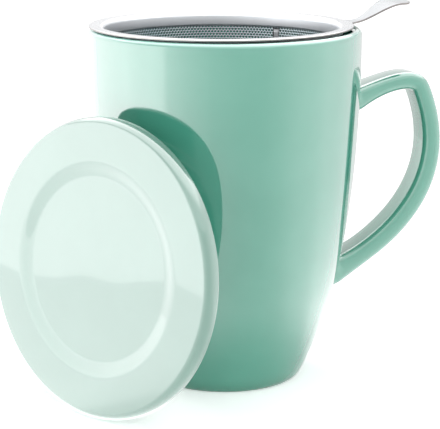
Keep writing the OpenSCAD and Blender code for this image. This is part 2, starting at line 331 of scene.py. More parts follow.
def open_group(name: str, inputs: dict[str, str]) -> tuple[Nodes, dict[str, Socket]]:
    """Starts a shader node group with Colour, Roughness and Height outputs.

    Args:
        name: The group's name.
        inputs: The kind of each named input. Every finish sets them all.

    Returns:
        The node helper and the input sockets by name.
    """
    group = bpy.data.node_groups.new(name, "ShaderNodeTree")
    outputs = {"Colour": "Color", "Roughness": "Float", "Height": "Float"}
    for way, sockets in (("INPUT", inputs), ("OUTPUT", outputs)):
        for key, kind in sockets.items():
            group.interface.new_socket(key, in_out=way, socket_type=f"NodeSocket{kind}")
    nodes = Nodes(group)
    entry = nodes.add("NodeGroupInput")
    return nodes, {key: entry.outputs[key] for key in inputs}


@dataclass(frozen=True)
class PouredGlaze:
    """A shader group for poured glaze: cloudiness, specks, thin lips, and feet darkened partly by
    pooled glaze and partly by painted shade.
    """

    cloud_scale: float = 55.0
    cloud_range: Point = (0.3, 0.7)
    cloud_thin: float = 0.035
    cloud_pooled: float = 0.05
    fine_scale: float = 900.0
    fine_rough: float = 0.03
    fine_height: float = 0.012
    speck_scale: float = 420.0
    speck_size: Point = (0.05, 0.12)
    speck_rarity: Point = (0.86, 0.94)
    speck_share: float = 0.10
    speck_pit: float = 0.1

    def build(self) -> Tree:
        """Builds the group."""
        nodes, given = open_group("poured_glaze", {
            "Body": "Color", "Thin": "Color", "Pooled": "Color", "Thin Mask": "Float",
            "Pool Shade Mask": "Float", "Roughness": "Float", "Wave Size": "Float",
            "Wave Height": "Float",
        })
        here = nodes.here()
        cloud = nodes.noise(here, self.cloud_scale, Detail=3.0, Roughness=0.5)
        cloudy = nodes.remap(cloud, *self.cloud_range)
        fine = nodes.noise(here, self.fine_scale, Detail=2.0)
        speck = nodes.add("ShaderNodeTexVoronoi", {"Vector": here, "Scale": self.speck_scale},
                          feature="F1")
        specks = nodes.remap(speck.outputs["Distance"], *self.speck_size, 1.0, 0.0)
        rare = nodes.remap(speck.outputs["Color"], *self.speck_rarity)
        thin = nodes.plus(given["Thin Mask"], nodes.times(cloudy, self.cloud_thin))
        clear = nodes.math("SUBTRACT", 1.0, cloudy)
        # The pool mask darkens the foot partly as pooled glaze and partly as painted shade; the
        # cloud adds random pools.
        pooled = nodes.plus(given["Pool Shade Mask"], nodes.times(clear, self.cloud_pooled))
        tone = nodes.mix(thin, given["Body"], given["Thin"])
        tone = nodes.mix(pooled, tone, given["Pooled"])
        dots = nodes.times(nodes.times(specks, rare), self.speck_share)
        swell = nodes.times(nodes.noise(here, given["Wave Size"], Detail=1.0), given["Wave Height"])
        skin = nodes.plus(swell, nodes.times(fine, self.fine_height))
        nodes.add("NodeGroupOutput", {
            "Colour": nodes.mix(dots, tone, given["Pooled"]),
            "Roughness": nodes.plus(given["Roughness"], nodes.times(fine, self.fine_rough)),
            "Height": nodes.math("SUBTRACT", skin, nodes.times(dots, self.speck_pit)),
        })
        return nodes.tree


@dataclass(frozen=True)
class WorkedSteel:
    """A shader group for worked stainless steel: fine lines, faint tint and handling marks."""

    smear_scale: float = 70.0
    smear_range: Point = (0.35, 0.75)
    smear_bend: float = 0.6
    smear_share: float = 0.45
    streak_range: Point = (0.25, 0.75)
    streak_share: float = 0.55
    mark_rough: float = 0.10
    scratch_scale: float = 1400.0
    scratch_height: float = 0.3

    def build(self) -> Tree:
        """Builds the group."""
        nodes, given = open_group("worked_steel", {
            "Metal": "Color", "Tint": "Color", "Roughness": "Float", "Lines": "Vector",
        })
        here = nodes.here()
        lines = nodes.noise(given["Lines"], 1.0, Detail=4.0, Roughness=0.7)
        smear = nodes.noise(here, self.smear_scale, Detail=3.0, Distortion=self.smear_bend)
        scratch = nodes.noise(here, self.scratch_scale, Detail=2.0)
        streaks = nodes.times(nodes.remap(lines, *self.streak_range), self.streak_share)
        handled = nodes.times(nodes.remap(smear, *self.smear_range), self.smear_share)
        share = nodes.plus(streaks, handled)
        nodes.add("NodeGroupOutput", {
            "Colour": nodes.mix(share, given["Metal"], given["Tint"]),
            "Roughness": nodes.plus(given["Roughness"], nodes.times(share, self.mark_rough)),
            "Height": nodes.plus(lines, nodes.times(scratch, self.scratch_height)),
        })
        return nodes.tree


# ---- finishes


@dataclass(frozen=True)
class DryFoot:
    """The ring on which a glazed piece stands, left without glaze."""

    height: float
    inner_radius: float
    outer_radius: float
    edge: float = 0.4 * MM
    soft_from: float = 0.6
    colour: Colour = (0.62, 0.57, 0.50, 1.0)
    roughness: float = 0.62

    def mask(self, nodes: Nodes, axes: list[Socket]) -> Socket:
        """Masks the unglazed ring.

        Args:
            nodes: The shader tree's helper.
            axes: The shaded place.

        Returns:
            1 on the ring and 0 elsewhere.
        """
        x, y, z = axes
        reach = nodes.reach(x, y)
        low = nodes.remap(z, self.height * self.soft_from, self.height, 1.0, 0.0)
        inside = nodes.remap(reach, self.inner_radius - self.edge, self.inner_radius)
        outside = nodes.remap(reach, self.outer_radius, self.outer_radius + self.edge, 1.0, 0.0)
        return nodes.times(low, nodes.times(inside, outside))


@dataclass(frozen=True)
class GlazeFinish:
    """A glossy glaze on stoneware.

    The thin mask rises with height between thin_from and thin_to, and the pool shade
    mask falls with height between pool_shade_to and pool_shade_from, both on the mug's axis; it
    darkens the foot partly as pooled glaze and partly as painted shade.
    """

    name: str
    body: Colour
    thin: Colour
    pooled: Colour
    roughness: float = 0.05
    ior: float = 1.6
    coat: float = 1.0
    coat_roughness: float = 0.02
    coat_ior: float = 1.5
    wave_size: float = 55.0
    wave_height: float = 1.0
    bump_distance: float = 0.12 * MM
    thin_from: float = 1.0
    thin_to: float = 1.1
    pool_shade_from: float = -1.0
    pool_shade_to: float = -1.1
    dry_foot: DryFoot | None = None

    def build(self, group: Tree) -> Material:
        """Builds the material.

        Args:
            group: The poured glaze group.

        Returns:
            The material.
        """
        material, nodes = open_material(self.name)
        axes = nodes.axes(nodes.here())
        glaze = nodes.add("ShaderNodeGroup", {
            "Body": self.body, "Thin": self.thin, "Pooled": self.pooled,
            "Roughness": self.roughness, "Wave Size": self.wave_size,
            "Wave Height": self.wave_height,
            "Thin Mask": nodes.remap(axes[2], self.thin_from, self.thin_to),
            "Pool Shade Mask": nodes.remap(axes[2], self.pool_shade_to, self.pool_shade_from, 1.0, 0.0),
        }, node_tree=group)
        colour, rough, height = glaze.outputs
        coat: object = self.coat
        if self.dry_foot:
            bare = self.dry_foot.mask(nodes, axes)
            colour = nodes.mix(bare, colour, self.dry_foot.colour)
            rough = nodes.blend(bare, rough, self.dry_foot.roughness)
            coat = nodes.times(nodes.math("SUBTRACT", 1.0, bare), self.coat)
        normal = nodes.bump(height, self.bump_distance)
        shader = nodes.add("ShaderNodeBsdfPrincipled", {
            "Base Color": colour, "Roughness": rough, "IOR": self.ior, "Coat Weight": coat,
            "Coat Roughness": self.coat_roughness, "Coat IOR": self.coat_ior,
            "Normal": normal, "Coat Normal": normal,
        })
        nodes.add("ShaderNodeOutputMaterial", {"Surface": shader.outputs[0]})
        return material


@dataclass(frozen=True)
class SteelFinish:
    """Stainless steel, polished or left as rolled.

    The steel is dull within satin_radius of the axis, and darker and dull on the
    sheet's upright cut edges beyond cut_radius, partly as dull sheared steel and partly as painted
    shade.
    """

    name: str
    metal: Colour
    tint: Colour
    roughness: float
    grain: Grain
    axis_x: float = 0.0
    satin_radius: float = 0.0
    cut_radius: float = 1.0
    satin_edge: float = 0.4 * MM
    satin_roughness: float = 0.45
    # Tone of the darkened cut edges: partly dull sheared steel, partly painted shade along the
    # edge.
    cut_edge_shade_tone: Colour = (0.20, 0.185, 0.18, 1.0)
    cut_slope: Point = (0.35, 0.65)
    cut_edge: Point = (0.3 * MM, 0.1 * MM)
    grain_pitch: float = 0.25 * MM
    grain_turns: float = 2.0
    rolled_radius: float = 36 * MM
    rolled_stretch: float = 60.0
    bump_distance: float = 0.004 * MM

    def build(self, group: Tree) -> Material:
        """Builds the material.

        Args:
            group: The worked steel group.

        Returns:
            The material.
        """
        material, nodes = open_material(self.name)
        centred = nodes.add("ShaderNodeMapping", {
            "Vector": nodes.here(), "Location": (-self.axis_x, 0, 0),
        })
        x, y, z = nodes.axes(centred.outputs[0])
        reach = nodes.reach(x, y)
        colour, rough, height = nodes.add("ShaderNodeGroup", {
            "Metal": self.metal, "Tint": self.tint, "Roughness": self.roughness,
            "Lines": self._lines(nodes, reach, (x, y, z)),
        }, node_tree=group).outputs
        cut, satin_r, edge = self._cut_edge_shade_mask(nodes, reach), self.satin_radius, self.satin_edge
        satin = nodes.remap(reach, satin_r - edge, satin_r + edge, 1.0, 0.0)
        dull = nodes.math("MAXIMUM", satin, cut)
        shader = nodes.add("ShaderNodeBsdfPrincipled", {
            # The cut edges are darkened here: partly dull sheared steel, partly painted shade.
            "Base Color": nodes.mix(cut, colour, self.cut_edge_shade_tone),
            "Roughness": nodes.blend(dull, rough, self.satin_roughness),
            "Metallic": 1.0, "Normal": nodes.bump(height, self.bump_distance),
        })
        nodes.add("ShaderNodeOutputMaterial", {"Surface": shader.outputs[0]})
        return material

    def _lines(self, nodes: Nodes, reach: Socket, axes: Sequence[Socket]) -> Socket:
        """Stretches space along the grain, so that noise in it draws the grain's lines."""
        x, y, z = axes
        turn = nodes.math("ARCTAN2", y, x)
        fine = 1.0 / self.grain_pitch
        if self.grain is Grain.TURNED:
            values = (nodes.times(reach, fine), nodes.times(turn, self.grain_turns),
                      nodes.times(z, fine))
        else:
            values = (nodes.times(turn, self.rolled_radius * fine),
                      nodes.times(z, self.rolled_stretch), 0.0)
        return nodes.add("ShaderNodeCombineXYZ", dict(enumerate(values))).outputs[0]

    def _cut_edge_shade_mask(self, nodes: Nodes, reach: Socket) -> Socket:
        """Masks the upright cut edges beyond the cut radius, darkened partly as dull sheared steel
        and partly as painted shade.
        """
        normal = nodes.add("ShaderNodeNewGeometry").outputs["Normal"]
        slope = nodes.math("ABSOLUTE", nodes.axes(normal)[2])
        upright = nodes.remap(slope, *self.cut_slope, 1.0, 0.0)
        low, high = (self.cut_radius - edge for edge in self.cut_edge)
        return nodes.times(upright, nodes.remap(reach, low, high))


# ---- mug


@dataclass
class Mug:
    """The glazed mug: a tall flared wall on a narrow foot."""

    height: float = 115 * MM
    rim_r: float = 44 * MM
    foot_r: float = 23.5 * MM
    foot_spread: float = 2.9 * MM
    foot_corner_h: float = 3 * MM
    foot_ring_w: float = 4.5 * MM
    foot_hollow_h: float = 1.8 * MM
    ring_soft: float = 0.5 * MM
    hollow_round: Point = (1.1 * MM, 0.9 * MM)
    flare_low_r: float = 37.9 * MM
    flare_low_z: float = 27.8 * MM
    flare_high_z: float = 59.3 * MM
    wall_top: float = 3.2 * MM
    wall_low: float = 4.2 * MM
    floor_t: float = 4.5 * MM
    floor_round_w: float = 5 * MM
    lip_h: float = 1.8 * MM
    lip_thin: Point = (1.2 * MM, 0.2 * MM)
    # Height of the darker band above the foot: partly pooled glaze, partly painted shade.
    pool_shade_h: float = 6 * MM
    dry_h: float = 0.5 * MM
    cavity_start: float = 0.14
    outline_steps: int = 56
    floor_steps: int = 16
    search_steps: int = 30

    @property
    def shell_curve(self) -> list[Point]:
        """The outside of the wall, from the foot's corner to the lip."""
        return [
            (self.foot_r + self.foot_spread, self.foot_corner_h),
            (self.flare_low_r, self.flare_low_z),
            (self.rim_r, self.flare_high_z),
            (self.rim_r, self.height - self.lip_h),
        ]

    def outer_radius(self, z: float) -> float:
        """Finds the wall's outer radius at a height.

        Args:
            z: The height.

        Returns:
            The radius.
        """
        curve = self.shell_curve
        if z <= curve[0][1]:
            return curve[0][0]
        low, high = 0.0, 1.0
        for _ in range(self.search_steps):
            middle = (low + high) / 2
            low, high = (middle, high) if bezier(curve, middle).y < z else (low, middle)
        return bezier(curve, low).x

    def cavity_point(self, t: float) -> Vector:
        """Finds the inside of the wall opposite a place on the outside."""
        heading = bezier_heading(self.shell_curve, t)
        wall = self.wall_low + (self.wall_top - self.wall_low) * t
        return bezier(self.shell_curve, t) + wall * Vector((-heading.y, heading.x))

    def profile(self) -> list[Vector]:
        """Lists the closed half section of the mug, from the hollow under its foot to its floor.

        Returns:
            Points of radius and height that start and end on the axis.
        """
        curve, start, steps = self.shell_curve, self.cavity_start, self.outline_steps
        heading = bezier_heading(curve, 0)
        low_reach = curve[0][0] - self.foot_corner_h * heading.x / heading.y
        foot_curve = [(self.foot_r, 0.0), (low_reach, 0.0), curve[0]]
        floor_z = self.foot_hollow_h + self.floor_t
        corner, slope = self.cavity_point(start), bezier_heading(curve, start)
        round_r = corner.x - (corner.y - floor_z) * slope.x / slope.y
        floor_curve = [corner, (round_r, floor_z), (self.foot_r - self.floor_round_w, floor_z)]
        ring_inner, soft = self.foot_r - self.foot_ring_w, self.ring_soft
        hollow_r, half_lip = ring_inner - 3 * soft, self.wall_top / 2
        points = [Vector((0.0, self.foot_hollow_h)), Vector((hollow_r, self.foot_hollow_h))]
        points += arc((hollow_r, self.hollow_round[1]), self.hollow_round, 90, 0, 6)
        points += arc((ring_inner + soft, soft), (soft, soft), 180, 270, 4)
        points += [bezier(foot_curve, i / 10) for i in range(10)]
        points += [bezier(curve, i / steps) for i in range(steps)]
        points += arc((self.rim_r - half_lip, self.height - self.lip_h),
                      (half_lip, self.lip_h), 0, 180, 20)
        points += [self.cavity_point(1 - (1 - start) * i / steps) for i in range(1, steps)]
        points += [bezier(floor_curve, i / self.floor_steps) for i in range(self.floor_steps + 1)]
        points.append(Vector((0.0, floor_z)))
        return points

    def glaze(self) -> GlazeFinish:
        """Gives the glaze, which thins over the lip and darkens above the unglazed foot, partly as
        pooled glaze and partly as painted shade.
        """
        return GlazeFinish(
            "green_glaze", BODY_GREEN, (0.32, 0.62, 0.53, 1), (0.040, 0.215, 0.150, 1),
            thin_from=self.height - self.lip_thin[0], thin_to=self.height - self.lip_thin[1],
            pool_shade_from=self.pool_shade_h, pool_shade_to=0,
            dry_foot=DryFoot(self.dry_h, self.foot_r - self.foot_ring_w, self.foot_r),
        )

    def build(self, group: Tree) -> None:
        """Turns the mug and glazes it."""
        material = self.glaze().build(group)
        Piece("mug_shell", Part.MUG_BODY, material).finish(spun(self.profile()))


@dataclass
class Handle:
    """The ear handle: a rounded strap swept along two curves, with filleted roots."""

    mug: Mug
    bearing: float = 13.0
    top_drop: float = 25 * MM
    low_z: float = 32.4 * MM
    stand: float = 21.5 * MM
    rise: float = 3.8 * MM
    thick_top: float = 5.3 * MM
    thick_low: float = 6.7 * MM
    thicken_rate: float = 1.2
    width: float = 13 * MM
    edge_r: float = 2.4 * MM
    bury: float = 2.4 * MM
    root_flare: float = 1.8 * MM
    flare_length: float = 14 * MM
    fillet_r: float = 0.7 * MM
    fillet_follow: float = 0.6
    pull: tuple[float, float, float, float] = (0.26, 0.3, 0.5, 0.33)
    root_angles: Point = (26.0, 23.4)
    fall_angle: float = -67.0
    top_share: float = 0.36
    rings: int = 120
    corner_steps: int = 7
    finish: GlazeFinish = GlazeFinish(
        "green_glaze_handle", BODY_GREEN, (0.30, 0.56, 0.47, 1), (0.045, 0.235, 0.165, 1),
    )

    def curves(self) -> tuple[list[Point], list[Point]]:
        """Gives the upper and the lower curve of the handle's middle line.

        Returns:
            Two lists of four control points of radius and height.
        """
        top_z = self.mug.height - self.top_drop
        top = Vector((self.mug.outer_radius(top_z) - self.bury, top_z))
        low = Vector((self.mug.outer_radius(self.low_z) - self.bury, self.low_z))
        shoulder = Vector((self.mug.rim_r + self.stand, top_z + self.rise))
        upper_l, lower_l = (shoulder - top).length, (low - shoulder).length

        def towards(angle: float, length: float) -> Vector:
            """Gives a step in a direction."""
            turn = math.radians(angle)
            return length * Vector((math.cos(turn), math.sin(turn)))

        upper = [top, top + towards(self.root_angles[0], self.pull[0] * upper_l),
                 shoulder - towards(self.fall_angle, self.pull[1] * upper_l), shoulder]
        lower = [shoulder, shoulder + towards(self.fall_angle, self.pull[2] * lower_l),
                 low + towards(self.root_angles[1], self.pull[3] * lower_l), low]
        return upper, lower

    def section(self, thick: float, wide: float) -> list[Vector]:
        """Lists the rounded rectangle of the strap.

        Args:
            thick: Its size across the strap.
            wide: Its size along the strap's flat face.

        Returns:
            Points of (across, along).
        """
        r = self.edge_r
        points: list[Vector] = []
        for quarter, (sx, sy) in enumerate(((1, 1), (-1, 1), (-1, -1), (1, -1))):
            centre = (sx * (thick / 2 - r), sy * (wide / 2 - r))
            points += arc(centre, (r, r), 90 * quarter, 90 * quarter + 90, self.corner_steps)
        return points

    def ring(self, u: float) -> list[Vector]:
        """Places the strap's section on the middle line.

        Args:
            u: How far along the handle, from the upper root at 0 to the lower one at 1.

        Returns:
            The ring's points in the frame, before the handle is turned to its bearing.
        """
        upper, lower = self.curves()
        split = self.top_share
        curve, t = (upper, u / split) if u < split else (lower, (u - split) / (1 - split))
        here, heading = bezier(curve, t), bezier_heading(curve, t)
        near = min((here - end).length for end in (upper[0], lower[-1])) - self.bury
        swell = self.root_flare * max(0.0, 1 - max(0.0, near) / self.flare_length) ** 2
        growth = (self.thick_low - self.thick_top) * ease(self.thicken_rate * u)
        across = Vector((-heading.y, heading.x))
        return [Vector((here.x + across.x * a, b, here.y + across.y * a))
                for a, b in self.section(self.thick_top + growth + swell, self.width + swell)]

    def build(self, group: Tree) -> None:
        """Sweeps the strap by extruding its first ring from place to place."""
        bm = bmesh.new()
        verts = [bm.verts.new(p) for p in self.ring(0.0)]
        edges = [bm.edges.new((a, b)) for a, b in zip(verts, verts[1:] + verts[:1])]
        bmesh.ops.contextual_create(bm, geom=edges)
        for i in range(1, self.rings + 1):
            step = bmesh.ops.extrude_edge_only(bm, edges=edges)["geom"]
            edges = [g for g in step if isinstance(g, bmesh.types.BMEdge)]
            fresh = [g for g in step if isinstance(g, bmesh.types.BMVert)]
            for vert, spot in zip(fresh, self._in_order(fresh, i)):
                vert.co = spot
        bmesh.ops.contextual_create(bm, geom=[e for e in bm.edges if e.is_boundary])
        self._fillet(bm)
        bmesh.ops.recalc_face_normals(bm, faces=bm.faces[:])
        place(bm, turned(self.bearing))
        material = self.finish.build(group)
        Piece("mug_handle_ear", Part.MUG_HANDLE, material, flat_over=60).finish(bm)

    def _in_order(self, fresh: list, i: int) -> list[Vector]:
        """Gives each fresh vertex the place of the one that it came from, on the next ring."""
        before, after = self.ring((i - 1) / self.rings), self.ring(i / self.rings)
        return [after[min(range(len(before)), key=lambda k: (before[k] - v.co).length_squared)]
                for v in fresh]

    def _fillet(self, bm: BMesh) -> None:
        """Spreads the vertices near the wall outward from the strap, as a fillet would."""
        upper, lower = self.curves()
        ends = [Vector((p[0], 0, p[1])) for p in (upper[0], lower[-1])]
        for vert in bm.verts:
            spot = vert.co.copy()
            gap = math.hypot(spot.x, spot.y) - self.mug.outer_radius(spot.z)
            depth = self.fillet_r - max(gap, 0.0)
            if depth <= 0:
                continue
            root = min(ends, key=lambda end: (end - spot).length_squared)
            middle = Vector((spot.x, 0, root.z + (spot.x - root.x) * self.fillet_follow))
            push = self.fillet_r - math.sqrt(max(0.0, self.fillet_r ** 2 - depth ** 2))
            vert.co = spot + (spot - middle).normalized() * push


# ---- infuser


@dataclass
class Infuser:
    """The basket: a turned rim with a thumb tab, a perforated sleeve and a perforated floor."""

    mug: Mug
    shift: float = 1.2 * MM
    seat_gap: float = 0.5 * MM
    rim_inset: float = 1.5 * MM
    sheet: float = 0.6 * MM
    rim_soft: float = 0.21 * MM
    mesh_sheet: float = 0.4 * MM
    collar_r: float = 37.8 * MM
    collar_h: float = 4.6 * MM
    bend_r: float = 1.6 * MM
    sleeve_top_r: float = 38.65 * MM
    low_r: float = 32.96 * MM
    depth: float = 72 * MM
    sleeve_gap: float = 0.05 * MM
    hoop_drop: float = 0.5 * MM
    hoop_top_gap: float = 0.4 * MM
    hoop_sheet: float = 0.5 * MM
    foot_hoop_sheet: float = 0.6 * MM
    turn_h: float = 2.6 * MM
    pitch_wanted: float = 1.0 * MM
    web: float = 0.36 * MM
    seam_bearing: float = 61.0
    seam_w: float = 2.0 * MM
    seam_proud: float = 0.08 * MM
    seam_sheet: float = 0.1 * MM
    seam_grid: tuple[int, int] = (4, 40)
    spot_d: float = 1.1 * MM
    spot_pitch: float = 5.8 * MM
    spot_base: float = 0.02 * MM
    spot_steps: tuple[Point, Point] = ((0.2, 0.08 * MM), (0.25, -0.03 * MM))
    floor_border: float = 2 * MM
    floor_lap: float = 0.4 * MM
    floor_lift: float = 0.1 * MM
    pan_sheet: float = 0.6 * MM
    pan_round: float = 1.0 * MM
    tab_bearing: float = 13.0
    tab_reach: float = 20.3 * MM
    tab_lap: float = 0.72 * MM
    tab_flat_l: float = 1 * MM
    tab_pad_l: float = 4.2 * MM
    tab_rise: float = 6.3 * MM
    tab_neck_w: float = 5.6 * MM
    tab_pad_w: float = 16.4 * MM
    tab_nose_l: float = 4.4 * MM
    tab_fillet: float = 2.6 * MM
    tab_sink: float = 0.08 * MM
    tab_inside: float = 0.02 * MM
    tab_soft: float = 0.15 * MM
    tab_soft_over: float = 50.0
    tab_grid: tuple[int, int] = (64, 18)
    nose_power: float = 0.6

    @property
    def top_z(self) -> float:
        """Height of the rim's top face."""
        return self.mug.height + self.seat_gap + self.sheet

    @property
    def low_z(self) -> float:
        """Height of the basket's underside."""
        return self.top_z - self.depth

    @property
    def collar_low_z(self) -> float:
        """Height of the collar's lower edge."""
        return self.top_z - self.collar_h

    @property
    def rim_r(self) -> float:
        """Outer radius of the rim."""
        return self.mug.rim_r - self.rim_inset

    def sleeve_radius(self, z: float) -> float:
        """Gives the sleeve's inner radius at a height."""
        share = (z - self.low_z) / (self.collar_low_z - self.low_z)
        return self.low_r + (self.sleeve_top_r - self.low_r) * share

    def seat(self, bm: BMesh, piece: Piece, turn: float = 0.0) -> Thing:
        """Turns a mesh, moves it to the basket's own axis and finishes it."""
        place(bm, Matrix.Translation((-self.shift, 0, 0)) @ turned(turn))
        return piece.finish(bm)

    def steel(self, group: Tree, name: str, metal: Colour, tint: Colour, roughness: float,
              grain: Grain) -> Material:
        """Builds a steel finish that is centred on the basket.

        Args:
            group: The worked steel group.
            name: The finish's name.
            metal: Its colour.
            tint: Its colour in streaks and marks.
            roughness: Its roughness where clean.
            grain: How its lines run. Turned steel has a dull collar, and its cut edges are darker,
                partly as dull sheared steel and partly as painted shade.

        Returns:
            The material.
        """
        finish = SteelFinish(name, metal, tint, roughness, grain, -self.shift)
        if grain is Grain.TURNED:
            bend = self.collar_r + 0.5 * self.bend_r
            finish = replace(finish, satin_radius=bend, cut_radius=self.rim_r)
        return finish.build(group)

    def rim_profile(self) -> list[Vector]:
        """Lists the closed section of the rim, bend and collar.

        Returns:
            Points of radius and height, with the last point equal to the first.
        """
        edge, inner, hem = self.rim_soft, self.bend_r - self.sheet, self.sheet / 2
        bend = (self.collar_r + self.bend_r, self.top_z - self.bend_r)
        rim = self.rim_r - edge
        points = arc((rim, self.top_z - edge), (edge, edge), 0, 90, 6)
        points += arc(bend, (self.bend_r, self.bend_r), 90, 180, 10)
        points += arc((self.collar_r + hem, self.collar_low_z + hem), (hem, hem), 180, 360, 8)
        points += arc(bend, (inner, inner), 180, 90, 8)
        points += arc((rim, self.top_z - self.sheet + edge), (edge, edge), 270, 360, 6)
        return [*points, points[0]]

    def build_rim(self, material: Material) -> None:
        """Turns the rim and its collar."""
        piece = Piece("infuser_rim_ring", Part.RIM, material, flat_over=50)
        self.seat(spun(self.rim_profile()), piece)

    def tab_half_width(self, s: float) -> float:
        """Gives half the tab's width at a distance out from the rim."""
        neck, pad, root = self.tab_neck_w / 2, self.tab_pad_w / 2, self.tab_fillet
        wide_at = self.tab_reach - self.tab_nose_l
        if s < root:
            return neck + root * (1 - max(0.0, s) / root) ** 2
        if s < wide_at:
            return neck + (pad - neck) * ease((s - root) / (wide_at - root))
        return pad * max(0.0, 1 - ((s - wide_at) / self.tab_nose_l) ** 2) ** self.nose_power

    def tab_height(self, s: float) -> float:
        """Gives how far the tab has climbed at a distance out, with its root sunk in the rim."""
        slope_l = self.tab_reach - self.tab_pad_l - self.tab_flat_l
        climb = self.tab_rise * ease((s - self.tab_flat_l) / slope_l)
        return climb - self.tab_sink * (1 - ease(s / self.sheet))

    def build_tab(self, material: Material) -> None:
        """Bends a grid of faces into the thumb tab and gives it its thickness."""
        bm = bmesh.new()
        columns, rows = self.tab_grid
        bmesh.ops.create_grid(bm, x_segments=columns, y_segments=rows, size=1.0)
        root, tip = -self.tab_lap, self.tab_reach - self.tab_inside
        for vert in bm.verts:
            s = root + (tip - root) * math.sin(math.pi / 2 * (vert.co.x + 1) / 2)
            across = vert.co.y * self.tab_half_width(s)
            sagitta = self.rim_r - math.sqrt(max(0.0, self.rim_r ** 2 - across ** 2))
            follow = max(0.0, 1 - max(0.0, s) / (3 * self.tab_fillet))
            vert.co = (self.rim_r + s - sagitta * follow, across, self.top_z + self.tab_height(s))
        face_towards(bm, UP)
        piece = Piece("thumb_tab", Part.RIM, material, flat_over=60)
        tab = self.seat(bm, piece, self.tab_bearing)
        thicken(tab, self.sheet - self.tab_inside, even=True)
        edge = tab.modifiers.new("soft edge", "BEVEL")
        edge.width = self.tab_soft
        edge.segments = 3
        edge.limit_method = "ANGLE"
        edge.angle_limit = math.radians(self.tab_soft_over)

    def hexagon_sheet(self, columns: int, rows: int, pitch: float) -> BMesh:
        """Lays staggered hexagons side by side in the XY plane and opens a hole in each.

        Args:
            columns: Number of hexagons in a row.
            rows: Number of rows.
            pitch: Distance between two holes.

        Returns:
            The flat perforated sheet, with its first hexagon's middle at the origin.
        """
        bm = bmesh.new()
        bmesh.ops.create_circle(bm, cap_ends=True, segments=6, radius=pitch / math.sqrt(3))
        first = bm.verts[:] + bm.edges[:] + bm.faces[:]
        for column in range(1, columns):
            self._copy(bm, first, (column * pitch, 0, 0))
        row_geom = bm.verts[:] + bm.edges[:] + bm.faces[:]
        for row in range(1, rows):
            self._copy(bm, row_geom, ((row % 2) * pitch / 2, row * pitch * math.sqrt(3) / 2, 0))
        bmesh.ops.remove_doubles(bm, verts=bm.verts[:], dist=SAME_SPOT)
        cells, web = bm.faces[:], self.web / 2
        bmesh.ops.inset_individual(bm, faces=cells, thickness=web, depth=0, use_even_offset=True)
        bmesh.ops.delete(bm, geom=cells, context="FACES")
        return bm

    def _copy(self, bm: BMesh, geom: list, offset: Sequence[float]) -> None:
        """Copies some geometry and moves the copy."""
        fresh = bmesh.ops.duplicate(bm, geom=geom)["geom"]
        verts = [g for g in fresh if isinstance(g, bmesh.types.BMVert)]
        bmesh.ops.translate(bm, verts=verts, vec=offset)

    def build_sleeve(self, material: Material) -> None:
        """Rolls the perforated sheet into the sleeve, in four quarters that meet edge to edge."""
        quarter_l = math.pi / 2 * (self.low_r + self.sleeve_top_r) / 2
        columns = round(quarter_l / self.pitch_wanted)
        pitch = quarter_l / columns
        row_h, height = pitch * math.sqrt(3) / 2, self.collar_low_z - self.low_z
        rows = math.floor(height / row_h)
        low = self.low_z + (height - (rows - 1) * row_h) / 2
        for number in range(4):
            bm = self.hexagon_sheet(columns, rows, pitch)
            start = math.radians(self.seam_bearing + 90 * number)
            for vert in bm.verts:
                turn = start + vert.co.x * math.pi / 2 / quarter_l
                z = low + vert.co.y
                r = self.sleeve_radius(z) + self.mesh_sheet
                vert.co = (r * math.cos(turn), r * math.sin(turn), z)
            face_towards(bm)
            name = f"sleeve_mesh_{number + 1}"
            quarter = self.seat(bm, Piece(name, Part.SLEEVE, material, flat_over=30))
            thicken(quarter, self.mesh_sheet)

    def build_hoops(self, material: Material) -> None:
        """Turns the plain hoops that weld the sleeve to the collar and stiffen its foot."""
        top, foot = self.top_z - self.bend_r - self.hoop_top_gap, self.low_z + self.turn_h
        upper = self.band((self.sleeve_top_r, self.collar_low_z - self.hoop_drop),
                          (self.sleeve_top_r, top), self.hoop_sheet)
        lower = self.band((self.low_r, self.low_z), (self.sleeve_radius(foot), foot),
                          self.foot_hoop_sheet)
        self.seat(spun(upper, lower), Piece("sleeve_hoops", Part.SLEEVE, material))

    def band(self, low: Point, high: Point, thick: float) -> list[Vector]:
        """Lists the closed section of a plain band with rounded edges."""
        edge = thick / 2
        points = arc((low[0] + edge, low[1] + edge), (edge, edge), 180, 360, 6)
        points += arc((high[0] + edge, high[1] - edge), (edge, edge), 0, 180, 6)
        return [*points, points[0]]

    def build_seam(self, material: Material) -> None:
        """Lays the lap strip with its weld spots over the sleeve's seam."""
        bm = bmesh.new()
        columns, rows = self.seam_grid
        bmesh.ops.create_grid(bm, x_segments=columns, y_segments=rows, size=0.5)
        low, high = self.low_z + self.turn_h, self.collar_low_z - self.hoop_drop
        for vert in bm.verts:
            vert.co = (vert.co.x * self.seam_w, low + (vert.co.y + 0.5) * (high - low), 0)
        for i in range(1, int((high - low) / self.spot_pitch)):
            self._weld_spot(bm, low + i * self.spot_pitch)
        start = math.radians(self.seam_bearing)
        for vert in bm.verts:
            turn, z = start + vert.co.x / self.low_r, vert.co.y
            r = self.sleeve_radius(z) - self.seam_proud - vert.co.z
            vert.co = (r * math.cos(turn), r * math.sin(turn), z)
        bmesh.ops.recalc_face_normals(bm, faces=bm.faces[:])
        seam = self.seat(bm, Piece("sleeve_seam", Part.SLEEVE, material, flat_over=50))
        thicken(seam, self.seam_sheet, offset=0)

    def _weld_spot(self, bm: BMesh, y: float) -> None:
        """Raises one round weld spot on the strip."""
        made = bmesh.ops.create_circle(bm, cap_ends=True, segments=16, radius=self.spot_d / 2)
        bmesh.ops.translate(bm, verts=made["verts"], vec=(0, y, self.spot_base))
        disc = list({f for v in made["verts"] for f in v.link_faces})
        for share, lift in self.spot_steps:
            bmesh.ops.inset_region(bm, faces=disc, thickness=share * self.spot_d, depth=0)
            inner = list({v for f in disc for v in f.verts})
            bmesh.ops.translate(bm, verts=inner, vec=(0, 0, lift))

